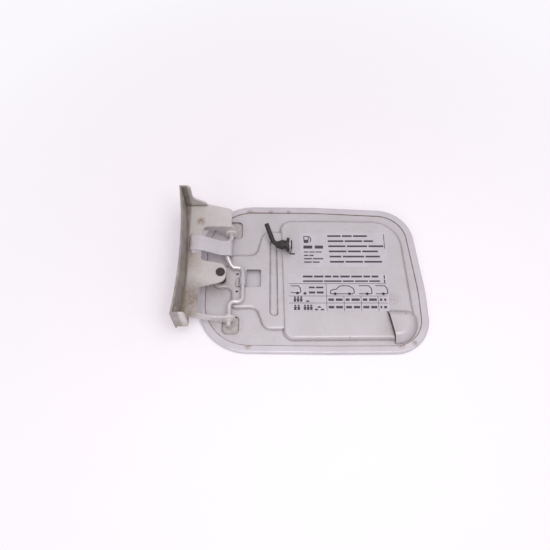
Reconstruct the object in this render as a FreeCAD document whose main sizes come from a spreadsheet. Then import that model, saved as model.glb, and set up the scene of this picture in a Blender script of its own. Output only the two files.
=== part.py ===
import FreeCAD, Part
import math
import os

import Sketcher

# Car fuel filler flap: hemmed outer skin, pressed inner panel, bent hinge wire and folded hinge bracket.
# Millimetres. The flap lies on its outer face, z = 0 on the table, and the hinge line runs along Y.

os.makedirs("parts", exist_ok=True)
doc = FreeCAD.newDocument("fuel_flap")
sheet = doc.addObject("Spreadsheet::Sheet", "sizes")
measure = doc.addObject("App::FeaturePython", "measure")
V = FreeCAD.Vector

# Driving sizes, one row each: name, value.
SIZES = [
    ("flap_left", -88.8),
    ("flap_right", 103.35),
    ("flap_low", -68.7),
    ("flap_high", 69.2),
    ("skin_thick", 0.8),
    ("hem_top", 4.5),
    ("hem_width", 6.0),
    ("hem_round", 1.7),
    ("panel_thick", 0.8),
    ("panel_edge_gap", 0.1),
    ("wall_slope", 30.0),
    ("press_round", 2.0),
    ("press_round_under", 1.2),
    ("hood_round", 4.6),
    ("hood_round_under", 3.8),
    ("hinge_plateau_rise", 2.2),
    ("label_plateau_rise", 3.2),
    ("valley_depth", 1.2),
    ("pocket_depth", 1.2),
    ("hood_rise", 8.8),
    ("hinge_x", -62.0),
    ("hinge_height", 10.0),
    ("wire_radius", 2.0),
    ("wire_bend", 4.5),
    ("cam_offset", 2.4),
    ("clip_x", -51.4),
    ("clip_z", 7.9),
    ("clip_length", 7.0),
    ("clip_mid_y", -7.0),
    ("clip_turn", 255.0),
    ("running_gap", 0.3),
    ("bush_gap", 0.05),
    ("bush_wall", 1.2),
    ("bush_flange_radius", 5.2),
    ("bush_flange_thick", 1.3),
    ("bush_stub", 1.0),
    ("ear_reach", 5.5),
    ("ear_round", 5.2),
    ("sheet_thick", 1.5),
    ("bracket_floor_top", 22.0),
    ("bracket_wall_top", 51.0),
    ("bracket_wall_x", -97.5),
    ("bracket_wall_bow", 400.0),
    ("bracket_south_y", -52.5),
    ("bracket_north_y", 60.7),
    ("upper_lug_y", 39.8),
    ("lower_lug_y", -40.5),
    ("bolt_radius", 3.25),
    ("bolt_drop", 7.5),
    ("bolt_mid_y", 4.0),
    ("bolt_spacing", 97.0),
    ("buffer_x", -69.1),
    ("buffer_y", -4.5),
    ("buffer_head_radius", 3.8),
    ("buffer_body_radius", 4.6),
    ("buffer_foot_radius", 3.6),
    ("leaf_thick", 0.7),
    ("leaf_width", 13.5),
    ("leaf_mid_y", 21.0),
    ("leaf_seat_x", -95.6),
    ("leaf_eye_gap", 0.6),
    ("notch_gap", 1.2),
    ("tab_x", -11.4),
    ("tab_mid_y", 25.6),
    ("tab_width", 9.6),
    ("tab_height", 12.1),
    ("tab_hole_height", 6.1),
    ("plug_neck_radius", 2.8),
    ("plug_flange_radius", 6.0),
    ("plug_flange_thick", 2.4),
    ("plug_bulb_radius", 5.2),
    ("plug_bulb_length", 8.5),
    ("plug_round", 2.6),
    ("plug_tail_radius", 2.0),
    ("label_thick", 0.12),
]

# Levels of the pressed panel.
PANEL_TOP = "( hem_top - skin_thick )"
PANEL_LOW = "( hem_top - skin_thick - panel_thick )"
LABEL_Z = f"{PANEL_TOP} + label_plateau_rise"
PLUG_Z = f"{LABEL_Z} + tab_hole_height"

# Levels of the leaf's hook above and below the wire's crank.
LEAF_OVER = "hinge_height + cam_offset + wire_radius + leaf_eye_gap + leaf_thick / 2"
LEAF_BELOW = "hinge_height + cam_offset - wire_radius - leaf_eye_gap - leaf_thick / 2"

# Outlines as rounded corners, one row each: across, up, corner radius.
# A number is a driving size of its own, and text is a rule on shared sizes.
CORNERS = {
    "flap": [
        ("flap_left", "flap_low + 1.3", 43.0),
        (20.0, "flap_low", 300.0),
        ("flap_right", "flap_low + 0.4", 30.0),
        ("flap_right - 0.75", -14.0, 150.0),
        ("flap_right - 9.15", "flap_high - 5.4", 32.0),
        (10.0, "flap_high - 1", 200.0),
        ("flap_left", "flap_high", 46.0),
    ],
    "label_plateau": [
        (-17.6, "flap_low + 10.9", 9.0),
        ("flap_right - 12.35", "flap_low + 11.7", 17.0),
        ("flap_right - 12.95", -35.0, 90.0),
        ("flap_right - 18.95", "flap_high - 16.6", 26.0),
        (10.0, "flap_high - 15.6", 300.0),
        (-20.2, "flap_high - 15.8", 10.0),
    ],
    "hinge_plateau": [
        (-76.0, -11.5, 5.0),
        (-61.2, -11.5, 5.0),
        (-61.2, -30.2, 4.0),
        (-40.0, -29.4, 7.0),
        (-33.5, -48.6, 9.0),
        (-12.0, -48.6, 2.0),
        (-12.0, 42.6, 2.0),
        (-34.6, 42.6, 9.0),
        (-40.4, 19.7, 7.0),
        (-62.8, 19.7, 4.0),
        (-62.8, 9.0, 2.5),
        (-76.0, 9.0, 5.0),
    ],
    "valley": [
        (-28.8, -37.0, 4.0),
        (-21.4, -37.0, 2.5),
        (-22.4, 33.6, 2.5),
        (-28.8, 33.6, 3.0),
    ],
    "upper_pocket": [
        (-66.0, 36.0, 3.0),
        (-52.6, 36.0, 3.0),
        (-52.6, 53.0, 4.0),
        (-66.0, 53.0, 4.0),
    ],
    "lower_pocket": [
        (-68.0, -52.3, 4.5),
        (-53.6, -52.3, 4.5),
        (-53.6, -36.5, 3.0),
        (-68.0, -36.5, 3.0),
    ],
    "window": [
        (-48.6, -11.0, 1.0),
        (-36.0, -11.0, 1.5),
        (-36.0, 5.6, 1.5),
        (-48.6, 5.6, 1.0),
    ],
    "hood": [
        ("flap_right - 43.35", "flap_low + 8.1", 0.0),
        ("flap_right - 10.55", "flap_low + 8.1", 18.0),
        ("flap_right - 10.55", "flap_low + 37.7", 10.0),
        ("flap_right - 43.35", "flap_low + 37.7", 0.0),
    ],
    "hood_keep": [
        ("flap_right - 28.45", "flap_low + 2.7", 0.0),
        ("flap_right - 5.35", "flap_low + 2.7", 0.0),
        ("flap_right - 5.35", "flap_low + 42.7", 0.0),
        ("flap_right - 36.15", "flap_low + 42.7", 0.0),
    ],
    "bracket_floor": [
        ("bracket_wall_x - 8.5", "bracket_south_y + 3", 0.0),
        (-92.5, "bracket_south_y + 3", 1.0),
        (-92.5, "lower_lug_y - sheet_thick", 1.0),
        (-86.5, "lower_lug_y - sheet_thick", 0.0),
        (-86.5, -18.0, 3.0),
        ("buffer_x + 4.5", "buffer_y - 7.7", 6.6),
        ("buffer_x + 4.5", "buffer_y + 7.1", 6.6),
        (-85.6, 6.5, 3.0),
        (-85.6, 34.0, 3.0),
        (-84.0, "upper_lug_y - sheet_thick", 3.0),
        ("hinge_x + 0.7", "upper_lug_y - sheet_thick", 0.0),
        ("hinge_x + 0.7", 55.5, 2.5),
        (-83.0, "bracket_north_y", 12.0),
        ("bracket_wall_x - 8.5", "bracket_north_y", 0.0),
    ],
    "upper_ear": [
        (-85.5, "bracket_floor_top - 6.5", 3.0),
        (-73.5, "bracket_floor_top - 7", 6.0),
        ("hinge_x - ear_reach", "hinge_height - ear_reach", "ear_round"),
        ("hinge_x + ear_reach", "hinge_height - ear_reach", "ear_round"),
        ("hinge_x + ear_reach", "hinge_height + 4", 4.0),
        ("hinge_x + 0.7", "bracket_floor_top", 1.0),
        (-85.5, "bracket_floor_top", 0.0),
    ],
    "lower_ear": [
        (-92.5, "bracket_floor_top - 7.5", 3.0),
        ("hinge_x - 9", "hinge_height - 3", 6.0),
        ("hinge_x - ear_reach", "hinge_height - ear_reach", 4.0),
        ("hinge_x + ear_reach", "hinge_height - ear_reach", "ear_round"),
        ("hinge_x + ear_reach", "hinge_height + 5.6", 4.0),
        (-74.0, "hinge_height + 5.6", 8.0),
        (-84.0, "bracket_floor_top", 4.0),
        (-92.5, "bracket_floor_top", 0.0),
    ],
    "north_return": [
        ("bracket_wall_x - 8.5", "bracket_floor_top - sheet_thick", 0.0),
        (-83.0, "bracket_floor_top - sheet_thick", 0.0),
        (-83.0, "bracket_floor_top + 3", 3.0),
        (-94.0, "bracket_floor_top + 11", 7.0),
        (-94.0, "bracket_wall_top", 3.0),
        ("bracket_wall_x - 8.5", "bracket_wall_top", 0.0),
    ],
    "south_return": [
        ("bracket_wall_x - 8.5", "bracket_floor_top + sheet_thick", 0.0),
        (-92.0, "bracket_floor_top + sheet_thick", 2.0),
        (-92.0, "bracket_wall_top", 3.0),
        ("bracket_wall_x - 8.5", "bracket_wall_top", 0.0),
    ],
    "leaf": [
        ("leaf_seat_x", "bracket_floor_top - 10", 0.0),
        ("leaf_seat_x", "bracket_floor_top + 3.4", 2.5),
        ("leaf_seat_x + 9.6", "bracket_floor_top + 3.4", 12.0),
        ("hinge_x - cam_offset - 5.4", LEAF_OVER, 6.0),
        ("hinge_x - cam_offset + 3.5", LEAF_OVER, 2.8),
        ("hinge_x - cam_offset + 3.5", LEAF_BELOW, 2.8),
        ("hinge_x - cam_offset - 0.4", LEAF_BELOW, 0.0),
    ],
    "tether_tab": [
        ("tab_mid_y - tab_width / 2", f"{LABEL_Z} - panel_thick / 2", 0.0),
        ("tab_mid_y + tab_width / 2", f"{LABEL_Z} - panel_thick / 2", 0.0),
        ("tab_mid_y + tab_width / 2", f"{LABEL_Z} + tab_height", 4.0),
        ("tab_mid_y - tab_width / 2", f"{LABEL_Z} + tab_height", 4.0),
    ],
    "fuel_label": [
        (-2.4, 7.2, 1.5),
        ("flap_right - 30.75", 7.2, 1.5),
        ("flap_right - 30.75", 40.6, 3.0),
        (-2.4, 40.6, 1.5),
    ],
    "pressure_label": [
        (-13.4, -33.2, 1.5),
        ("flap_right - 32.75", -33.2, 1.5),
        ("flap_right - 32.75", 0.9, 1.5),
        (-13.4, 0.9, 1.5),
    ],
}

# Spines of the bent wire and of the plug's tail, one row each: x, y, z, bend radius.
SPINES = {
    "wire": [
        ("hinge_x", "upper_lug_y + 6.2", "hinge_height", 0.0),
        ("hinge_x", 32.0, "hinge_height", "wire_bend"),
        ("hinge_x - cam_offset", 28.5, "hinge_height + cam_offset", "wire_bend"),
        ("hinge_x - cam_offset", 13.5, "hinge_height + cam_offset", "wire_bend"),
        ("hinge_x + 1.4", 6.0, "hinge_height - 1", "wire_bend"),
        ("clip_x", 6.0, "clip_z", "wire_bend"),
        ("clip_x", -25.3, "clip_z", "wire_bend"),
        ("hinge_x", -25.3, "hinge_height", "wire_bend"),
        ("hinge_x", "lower_lug_y - 6.5", "hinge_height", 0.0),
    ],
    "tail": [
        ("tab_x - 5.6", "tab_mid_y", PLUG_Z, 0.0),
        ("tab_x - 13.6", "tab_mid_y + 0.5", PLUG_Z, 7.0),
        ("tab_x - 20.1", "tab_mid_y + 18.5", f"{PLUG_Z} + 3", 0.0),
    ],
}


def fill_sheet():
    """Write every driving size into the sheet, each in a named cell."""
    rows = list(SIZES)
    for name, corners in CORNERS.items():
        for k, corner in enumerate(corners, 1):
            for part, value in zip(("across", "up", "round"), corner):
                rows.append((f"{name}_{part}_{k}", value))
    for name, points in SPINES.items():
        for k, point in enumerate(points, 1):
            for part, value in zip(("px", "py", "pz", "bend"), point):
                rows.append((f"{name}_{part}_{k}", value))
    numbers = [row for row in rows if not isinstance(row[1], str)]
    for k, (name, value) in enumerate(numbers, 1):
        sheet.set(f"A{k}", name)
        sheet.set(f"B{k}", repr(value))
        sheet.setAlias(f"B{k}", name)
    doc.recompute()


def size(name):
    """Return one driving size from the sheet as a number."""
    return float(sheet.get(name))


def bind(obj, **rules):
    """Bind properties of an object to formulas on the sheet's sizes."""
    for prop, rule in rules.items():
        obj.setExpression(prop.replace("__", "."), rule)
    return obj


def s(formula):
    """Turn a formula of plain size names into one that reads the sheet."""
    words = []
    for word in formula.replace("(", " ( ").replace(")", " ) ").split():
        plain = word[0].isalpha() and word not in ("sin", "cos", "tan", "deg")
        words.append("sizes." + word if plain else word)
    return " ".join(words).replace("sin (", "sin(").replace("cos (", "cos(")


def rule_of(table, name, part, k):
    """Return the formula of one value: its own cell, or a rule on shared sizes."""
    column = ("across", "up", "round") if table is CORNERS else ("px", "py", "pz", "bend")
    value = table[name][k - 1][column.index(part)]
    return s(value) if isinstance(value, str) else f"sizes.{name}_{part}_{k}"


def worth(table, name, part, k):
    """Return what the formula of one value comes to."""
    result = measure.evalExpression(rule_of(table, name, part, k))
    return float(getattr(result, "Value", result))


def corner_points(name):
    """Return the corner positions and radii of one outline."""
    steps = range(1, len(CORNERS[name]) + 1)
    ends = [V(worth(CORNERS, name, "across", k), worth(CORNERS, name, "up", k), 0) for k in steps]
    return ends, [worth(CORNERS, name, "round", k) for k in steps]


def rounded_sketch(name, label, closed=True):
    """Draw one outline as a fully constrained sketch whose corners and radii read the sheet."""
    sketch = doc.addObject("Sketcher::SketchObject", label)
    points, radii = corner_points(name)
    count = len(points)
    enter = list(points)
    leave = list(points)
    arcs = {}
    for k in range(count):
        if radii[k] == 0.0:
            continue
        before = (points[k - 1] - points[k]).normalize()
        after = (points[(k + 1) % count] - points[k]).normalize()
        half = before.getAngle(after) / 2
        reach = radii[k] / math.tan(half)
        enter[k] = points[k] + before * reach
        leave[k] = points[k] + after * reach
        middle = points[k] + (before + after).normalize() * (radii[k] / math.sin(half))
        left_turn = (points[k] - points[k - 1]).cross(points[(k + 1) % count] - points[k]).z > 0
        first, last = (enter[k], leave[k]) if left_turn else (leave[k], enter[k])
        start = math.atan2(first.y - middle.y, first.x - middle.x)
        end = math.atan2(last.y - middle.y, last.x - middle.x)
        circle = Part.Circle(middle, V(0, 0, 1), radii[k])
        arcs[k] = (sketch.addGeometry(Part.ArcOfCircle(circle, start, end)), left_turn)
    lines = {}
    for k in range(count if closed else count - 1):
        lines[k] = sketch.addGeometry(Part.LineSegment(leave[k], enter[(k + 1) % count]))
    for k in range(count):
        into = lines.get((k - 1) % count) if closed or k > 0 else None
        out = lines.get(k)
        if k in arcs:
            arc, left_turn = arcs[k]
            sketch.addConstraint(Sketcher.Constraint("Tangent", into, 2, arc, 1 if left_turn else 2))
            sketch.addConstraint(Sketcher.Constraint("Tangent", out, 1, arc, 2 if left_turn else 1))
            rule = sketch.addConstraint(Sketcher.Constraint("Radius", arc, radii[k]))
            sketch.setExpression(f"Constraints[{rule}]", rule_of(CORNERS, name, "round", k + 1))
            mark = sketch.addGeometry(Part.Point(points[k]), True)
            sketch.addConstraint(Sketcher.Constraint("PointOnObject", mark, 1, into))
            sketch.addConstraint(Sketcher.Constraint("PointOnObject", mark, 1, out))
            where = (mark, 1)
        elif out is None:
            where = (into, 2)
        else:
            if into is not None:
                sketch.addConstraint(Sketcher.Constraint("Coincident", into, 2, out, 1))
            where = (out, 1)
        for kind, part, value in (("DistanceX", "across", points[k].x), ("DistanceY", "up", points[k].y)):
            rule = sketch.addConstraint(Sketcher.Constraint(kind, -1, 1, where[0], where[1], value))
            sketch.setExpression(f"Constraints[{rule}]", rule_of(CORNERS, name, part, k + 1))
    return sketch


def plate(name, label, low, high, slope=None, grow=None, upright=None):
    """Extrude an outline between two levels, with sloped walls or an offset outline where asked."""
    base = rounded_sketch(name, label + "_sketch")
    if upright == "XZ":
        base.Placement = FreeCAD.Placement(V(0, 0, 0), FreeCAD.Rotation(V(1, 0, 0), 90))
        bind(base, Placement__Base__y=s(high))
    elif upright == "YZ":
        base.Placement = FreeCAD.Placement(V(0, 0, 0), FreeCAD.Rotation(V(1, 1, 1), 120))
        bind(base, Placement__Base__x=s(low))
    else:
        bind(base, Placement__Base__z=s(low))
    if grow:
        ring = doc.addObject("Part::Offset2D", label + "_offset")
        ring.Source = base
        bind(ring, Value=s(grow))
        base = ring
    solid = doc.addObject("Part::Extrusion", label)
    solid.Base = base
    solid.DirMode = "Normal"
    solid.Solid = True
    bind(solid, LengthFwd=s(f"{high} - ( {low} )"))
    if slope:
        bind(solid, TaperAngle=s(slope))
    return solid


def rod(label, radius, length, at, axis="Z", turn=None):
    """Make a cylinder whose sizes and place read the sheet."""
    solid = doc.addObject("Part::Cylinder", label)
    turns = {"Z": (V(0, 0, 1), 0), "Y": (V(1, 0, 0), -90), "X": (V(0, 1, 0), 90)}
    solid.Placement = FreeCAD.Placement(V(0, 0, 0), FreeCAD.Rotation(*turns[axis]))
    bind(solid, Radius=s(radius), Height=s(length))
    bind(solid, Placement__Base__x=s(at[0]), Placement__Base__y=s(at[1]), Placement__Base__z=s(at[2]))
    if turn:
        bind(solid, Angle=s(turn))
    return solid


def cone(label, low_radius, high_radius, length, at, axis="Z"):
    """Make a cone whose sizes and place read the sheet."""
    solid = doc.addObject("Part::Cone", label)
    turns = {"Z": FreeCAD.Rotation(), "-X": FreeCAD.Rotation(V(0, 1, 0), -90)}
    solid.Placement = FreeCAD.Placement(V(0, 0, 0), turns[axis])
    bind(solid, Radius1=s(low_radius), Radius2=s(high_radius), Height=s(length))
    bind(solid, Placement__Base__x=s(at[0]), Placement__Base__y=s(at[1]), Placement__Base__z=s(at[2]))
    return solid


def block(label, spans):
    """Make a box between two formulas on each axis."""
    solid = doc.addObject("Part::Box", label)
    for (low, high), prop, axis in zip(spans, ("Length", "Width", "Height"), "xyz"):
        solid.setExpression(prop, s(f"{high} - ( {low} )"))
        solid.setExpression("Placement.Base." + axis, s(low))
    return solid


def fuse(label, *shapes):
    """Join solids into one."""
    joined = doc.addObject("Part::MultiFuse", label)
    joined.Shapes = list(shapes)
    joined.Refine = True
    return joined


def cut(label, base, *tools):
    """Take one or more solids out of another."""
    tool = tools[0] if len(tools) == 1 else fuse(label + "_tools", *tools)
    result = doc.addObject("Part::Cut", label)
    result.Base = base
    result.Tool = tool
    result.Refine = True
    return result


def common(label, first, second):
    """Keep what two solids share."""
    result = doc.addObject("Part::Common", label)
    result.Base = first
    result.Tool = second
    return result


def on_top(edge, base):
    """Pick the edges round the top face of a solid."""
    box = edge.BoundBox
    west = worth(CORNERS, "hood", "across", 1)
    east = worth(CORNERS, "hood_keep", "across", 4)
    open_end = edge.Length > 1 and box.XMax < east and box.XMin > west
    return box.ZLength < 1e-6 and abs(box.ZMax - base.Shape.BoundBox.ZMax) < 1e-6 and not open_end


def on_big_end(edge, base):
    """Pick the round edge at the wide east end of a cone."""
    box = edge.BoundBox
    return box.XLength < 1e-6 and abs(box.XMax - base.Shape.BoundBox.XMax) < 1e-6


def rounded(label, base, radius, chosen):
    """Round the edges that a test picks from a solid."""
    doc.recompute()
    value = size(radius)
    picked = [k for k, edge in enumerate(base.Shape.Edges, 1) if chosen(edge, base)]
    result = doc.addObject("Part::Fillet", label)
    result.Base = base
    result.Edges = [(k, value, value) for k in picked]
    return result


def spine(name, label):
    """Draw a bent three-dimensional centre line with arcs at its bends."""
    count = len(SPINES[name])
    steps = range(1, count + 1)
    points = [V(*(worth(SPINES, name, part, k) for part in ("px", "py", "pz"))) for k in steps]
    edges = []
    last = points[0]
    for k in range(1, count - 1):
        before = (points[k - 1] - points[k]).normalize()
        after = (points[k + 1] - points[k]).normalize()
        half = before.getAngle(after) / 2
        bend = worth(SPINES, name, "bend", k + 1)
        reach = bend / math.tan(half)
        enter = points[k] + before * reach
        leave = points[k] + after * reach
        inward = (before + after).normalize()
        middle = points[k] + inward * (bend / math.sin(half) - bend)
        edges.append(Part.LineSegment(last, enter).toShape())
        edges.append(Part.Arc(enter, middle, leave).toShape())
        last = leave
    edges.append(Part.LineSegment(last, points[-1]).toShape())
    line = doc.addObject("Part::Feature", label)
    line.Shape = Part.Wire(edges)
    return line


def sweep(label, section, path):
    """Carry a section along a centre line."""
    doc.recompute()
    solid = doc.addObject("Part::Sweep", label)
    solid.Sections = [section]
    solid.Spine = (path, [f"Edge{k}" for k in range(1, len(path.Shape.Edges) + 1)])
    solid.Solid = True
    solid.Frenet = False
    return solid


def ring_section(label, name, radius, turn):
    """Place a circle at the start of a centre line."""
    circle = doc.addObject("Part::Circle", label)
    circle.Placement = FreeCAD.Placement(V(0, 0, 0), turn)
    bind(circle, Radius=s(radius))
    for axis in "xyz":
        circle.setExpression("Placement.Base." + axis, rule_of(SPINES, name, "p" + axis, 1))
    return circle


fill_sheet()

# Outer skin: a flat tray whose rim is folded in over the inner panel's edge.
skin_block = plate("flap", "skin_block", "0", "hem_top")
skin_cavity = plate("flap", "skin_cavity", "skin_thick", "hem_top - skin_thick", grow="0 - skin_thick")
skin_mouth = plate("flap", "skin_mouth", "hem_top - 2 * skin_thick", "hem_top + 1", grow="0 - hem_width")
skin_tray = cut("skin_tray", skin_block, skin_cavity, skin_mouth)


def on_rim(edge, base):
    """Pick the outer edges at the bottom and top of the hem."""
    box = edge.BoundBox
    flat = box.ZLength < 1e-6
    level = abs(box.ZMin) < 1e-6 or abs(box.ZMin - size("hem_top")) < 1e-6
    middle = edge.valueAt((edge.FirstParameter + edge.LastParameter) / 2)
    inner = skin_mouth.Shape.isInside(V(middle.x, middle.y, size("hem_top")), 0.05, True)
    return flat and level and not inner


outer_skin = rounded("outer_skin", skin_tray, "hem_round", on_rim)

# Inner panel: ring under the hem, two raised plateaus, recesses, latch hood, wire clip and tether tab.
INSET = "0 - panel_thick * ( 1 - sin ( wall_slope * 1 deg ) ) / cos ( wall_slope * 1 deg )"
ring = plate("flap", "panel_ring", PANEL_LOW, PANEL_TOP, grow="0 - skin_thick - panel_edge_gap")
raised = []
hollows = []
PRESSINGS = (
    ("label_plateau", "label_plateau_rise", "press_round"),
    ("hinge_plateau", "hinge_plateau_rise", "press_round"),
    ("hood", "hood_rise", "hood_round"),
)
for name, rise, radius in PRESSINGS:
    top = f"( {PANEL_TOP} + {rise} )"
    over = plate(name, name + "_top", PANEL_TOP, top, slope="0 - wall_slope")
    inside = f"( {top} - panel_thick )"
    under = plate(name, name + "_under", PANEL_LOW, inside, slope="0 - wall_slope", grow=INSET)
    raised.append(rounded(name + "_soft", over, radius, on_top))
    hollows.append(rounded(name + "_hollow", under, radius + "_under", on_top))
keep_outer = plate("hood_keep", "hood_keep_outer", "0", "30")
keep_inner = plate("hood_keep", "hood_keep_inner", "0", "30")
raised[2] = common("hood_outer", raised[2], keep_outer)
hollows[2] = common("hood_inner", hollows[2], keep_inner)
panel_shell = cut("panel_shell", fuse("panel_blank", ring, *raised), *hollows)
tubs = []
sinks = []
LEVELS = {
    "valley": (f"( {PANEL_TOP} + hinge_plateau_rise )", "valley_depth"),
    "upper_pocket": (PANEL_TOP, "pocket_depth"),
    "lower_pocket": (PANEL_TOP, "pocket_depth"),
}
for name, (top, depth) in LEVELS.items():
    floor = f"( {top} - {depth} )"
    tubs.append(plate(name, name + "_tub", f"( {floor} - panel_thick )", top, grow="panel_thick"))
    sinks.append(plate(name, name + "_sink", floor, f"( {top} + 0.6 )"))
window = plate("window", "window_cut", "0", "12")
slots = []
for k, side in enumerate(("clip_mid_y + 8", "clip_mid_y - 8"), 1):
    spans = (("clip_x - 5.8", "clip_x - 3.6"), (f"{side} - 0.8", f"{side} + 0.8"), ("2", "9"))
    slots.append(block(f"relief_slot_{k}", spans))
tab_slot = block("tab_slot", (
    ("tab_x - 0.2", "tab_x + 4.4"),
    ("tab_mid_y - tab_width / 2 - 1.6", "tab_mid_y - tab_width / 2 - 0.2"),
    ("2", "9"),
))
pressed = cut("panel_pressed", fuse("panel_tubs", panel_shell, *tubs), *sinks, window, *slots, tab_slot)
CLIP_Y = "clip_mid_y - clip_length / 2"
CLIP_AT = ("clip_x", CLIP_Y, "clip_z")
clip_outer = rod("clip_outer", "wire_radius + panel_thick", "clip_length", CLIP_AT, "Y", "clip_turn")
clip_outer.Placement.Rotation = FreeCAD.Rotation(V(0, 1, 0), 140).multiply(FreeCAD.Rotation(V(1, 0, 0), -90))
clip_bore = rod("clip_bore", "wire_radius", "clip_length + 2", ("clip_x", f"{CLIP_Y} - 1", "clip_z"), "Y")
clip_foot = block("clip_foot", (
    ("clip_x - 5.4", "clip_x - wire_radius + 0.6"),
    (CLIP_Y, f"{CLIP_Y} + clip_length"),
    ("clip_z - wire_radius - 0.4", "clip_z - wire_radius + panel_thick"),
))
clip = cut("wire_clip", fuse("clip_blank", clip_outer, clip_foot), clip_bore)
WEST = "tab_x - panel_thick / 2"
tab_plate = plate("tether_tab", "tab_plate", WEST, "tab_x + panel_thick / 2", upright="YZ")
tab_hole = rod("tab_hole", "plug_neck_radius", "4", ("tab_x - 2", "tab_mid_y", PLUG_Z), "X")
inner_panel = fuse("inner_panel", pressed, clip, cut("tab_bored", tab_plate, tab_hole))

# Hinge wire: round wire bent to run through both bushes, under the leaf and under the clip.
wire_ring = ring_section("wire_ring", "wire", "wire_radius", FreeCAD.Rotation(V(1, 0, 0), 90))
hinge_wire = sweep("hinge_wire", wire_ring, spine("wire", "wire_spine"))

# Hinge bracket: bowed bolting wall with two return flanges, floor with a lug, and two ears for the bushes.
FLOOR_LOW = "( bracket_floor_top - sheet_thick )"
floor = plate("bracket_floor", "bracket_floor", FLOOR_LOW, "bracket_floor_top")
notch = block("leaf_notch", (
    ("leaf_seat_x - leaf_thick / 2 - running_gap", "leaf_seat_x + 20"),
    ("leaf_mid_y - leaf_width / 2 - notch_gap", "leaf_mid_y + leaf_width / 2 + notch_gap"),
    (f"{FLOOR_LOW} - 1", "bracket_floor_top + 1"),
))
BELOW_FLOOR = f"{FLOOR_LOW} - 1"
HOLE_AT = ("buffer_x", "buffer_y", BELOW_FLOOR)
buffer_hole = rod("buffer_hole", "buffer_head_radius", "sheet_thick + 2", HOLE_AT)
floor_open = cut("floor_open", floor, notch, buffer_hole)
BOW_X = "bracket_wall_x - bracket_wall_bow"
BOW_Y = "( bracket_north_y + bracket_south_y ) / 2"
WALL_RISE = f"bracket_wall_top - {FLOOR_LOW}"
bow_out = rod("bow_out", "bracket_wall_bow", WALL_RISE, (BOW_X, BOW_Y, FLOOR_LOW))
bow_in = rod("bow_in", "bracket_wall_bow - sheet_thick", "bracket_wall_top", (BOW_X, BOW_Y, BELOW_FLOOR))
bow_span = block("bow_span", (
    ("bracket_wall_x - 20", "bracket_wall_x + 5"),
    ("bracket_south_y", "bracket_north_y"),
    ("0", "bracket_wall_top + 5"),
))
wall = common("bolting_wall", cut("bow_shell", bow_out, bow_in), bow_span)
NORTH_IN = "bracket_north_y - sheet_thick"
SOUTH_IN = "bracket_south_y + sheet_thick"
north = plate("north_return", "north_return", NORTH_IN, "bracket_north_y", upright="XZ")
south = plate("south_return", "south_return", "bracket_south_y", SOUTH_IN, upright="XZ")
upper_ear = plate("upper_ear", "upper_ear", "upper_lug_y - sheet_thick", "upper_lug_y", upright="XZ")
lower_ear = plate("lower_ear", "lower_ear", "lower_lug_y - sheet_thick", "lower_lug_y", upright="XZ")
joined = fuse("bracket_joined", floor_open, wall, north, south, upper_ear, lower_ear)
folded = cut("bracket_folded", joined, bow_in)
HOLE_R = "wire_radius + bush_gap + bush_wall"
bores = []
for side in ("upper", "lower"):
    where = ("hinge_x", f"{side}_lug_y - sheet_thick - 2", "hinge_height")
    bores.append(rod(f"{side}_bore", HOLE_R, "sheet_thick + 4", where, "Y"))
for k, sign in enumerate(("+", "-"), 1):
    where = ("bracket_wall_x - 20", f"bolt_mid_y {sign} bolt_spacing / 2", "bracket_wall_top - bolt_drop")
    bores.append(rod(f"bolt_bore_{k}", "bolt_radius", "30", where, "X"))
hinge_bracket = cut("hinge_bracket", folded, *bores)


def bush(label, ear_inner_y, ear_outer_y, inward):
    """Make a flanged bush pressed into one ear, its flange on the inner side."""
    start = ear_inner_y if inward == "-" else ear_outer_y
    flange_y = f"{ear_inner_y} - bush_flange_thick" if inward == "-" else ear_inner_y
    low = f"{ear_inner_y} - 0.01" if inward == "-" else f"{ear_outer_y} - bush_stub"
    places = [("hinge_x", y, "hinge_height") for y in (low, flange_y, f"{start} - 10")]
    barrel = rod(label + "_barrel", HOLE_R, "sheet_thick + bush_stub", places[0], "Y")
    flange = rod(label + "_flange", "bush_flange_radius", "bush_flange_thick", places[1], "Y")
    bore = rod(label + "_bore", "wire_radius + bush_gap", "20", places[2], "Y")
    return cut(label, fuse(label + "_blank", barrel, flange), bore)


upper_bush = bush("upper_bush", "upper_lug_y - sheet_thick", "upper_lug_y", "-")
lower_bush = bush("lower_bush", "lower_lug_y", "lower_lug_y - sheet_thick", "+")

# Stop buffer: rubber plug in the lug, its foot just above the panel's landing.
LANDING = f"{PANEL_TOP} + hinge_plateau_rise + running_gap"
BUFFER_RISE = f"{FLOOR_LOW} - ( {LANDING} )"
BUFFER_AT = ("buffer_x", "buffer_y", LANDING)
buffer_body = cone("buffer_body", "buffer_foot_radius", "buffer_body_radius", BUFFER_RISE, BUFFER_AT)
HEAD_AT = ("buffer_x", "buffer_y", FLOOR_LOW)
buffer_head = rod("buffer_head", "buffer_head_radius", "sheet_thick + 0.5", HEAD_AT)
stop_buffer = fuse("stop_buffer", buffer_body, buffer_head)

# Leaf spring: strip seated in the floor's notch and hooked over the wire's cranked part.
leaf_path = rounded_sketch("leaf", "leaf_path", closed=False)
leaf_path.Placement = FreeCAD.Placement(V(0, 0, 0), FreeCAD.Rotation(V(1, 0, 0), 90))
bind(leaf_path, Placement__Base__y=s("leaf_mid_y"))
leaf_end = doc.addObject("Part::Plane", "leaf_end")
bind(leaf_end, Length=s("leaf_thick"), Width=s("leaf_width"))
bind(leaf_end, Placement__Base__x=s("leaf_seat_x - leaf_thick / 2"))
bind(leaf_end, Placement__Base__y=s("leaf_mid_y - leaf_width / 2"))
bind(leaf_end, Placement__Base__z=rule_of(CORNERS, "leaf", "up", 1))
leaf_spring = sweep("leaf_spring", leaf_end, leaf_path)

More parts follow.
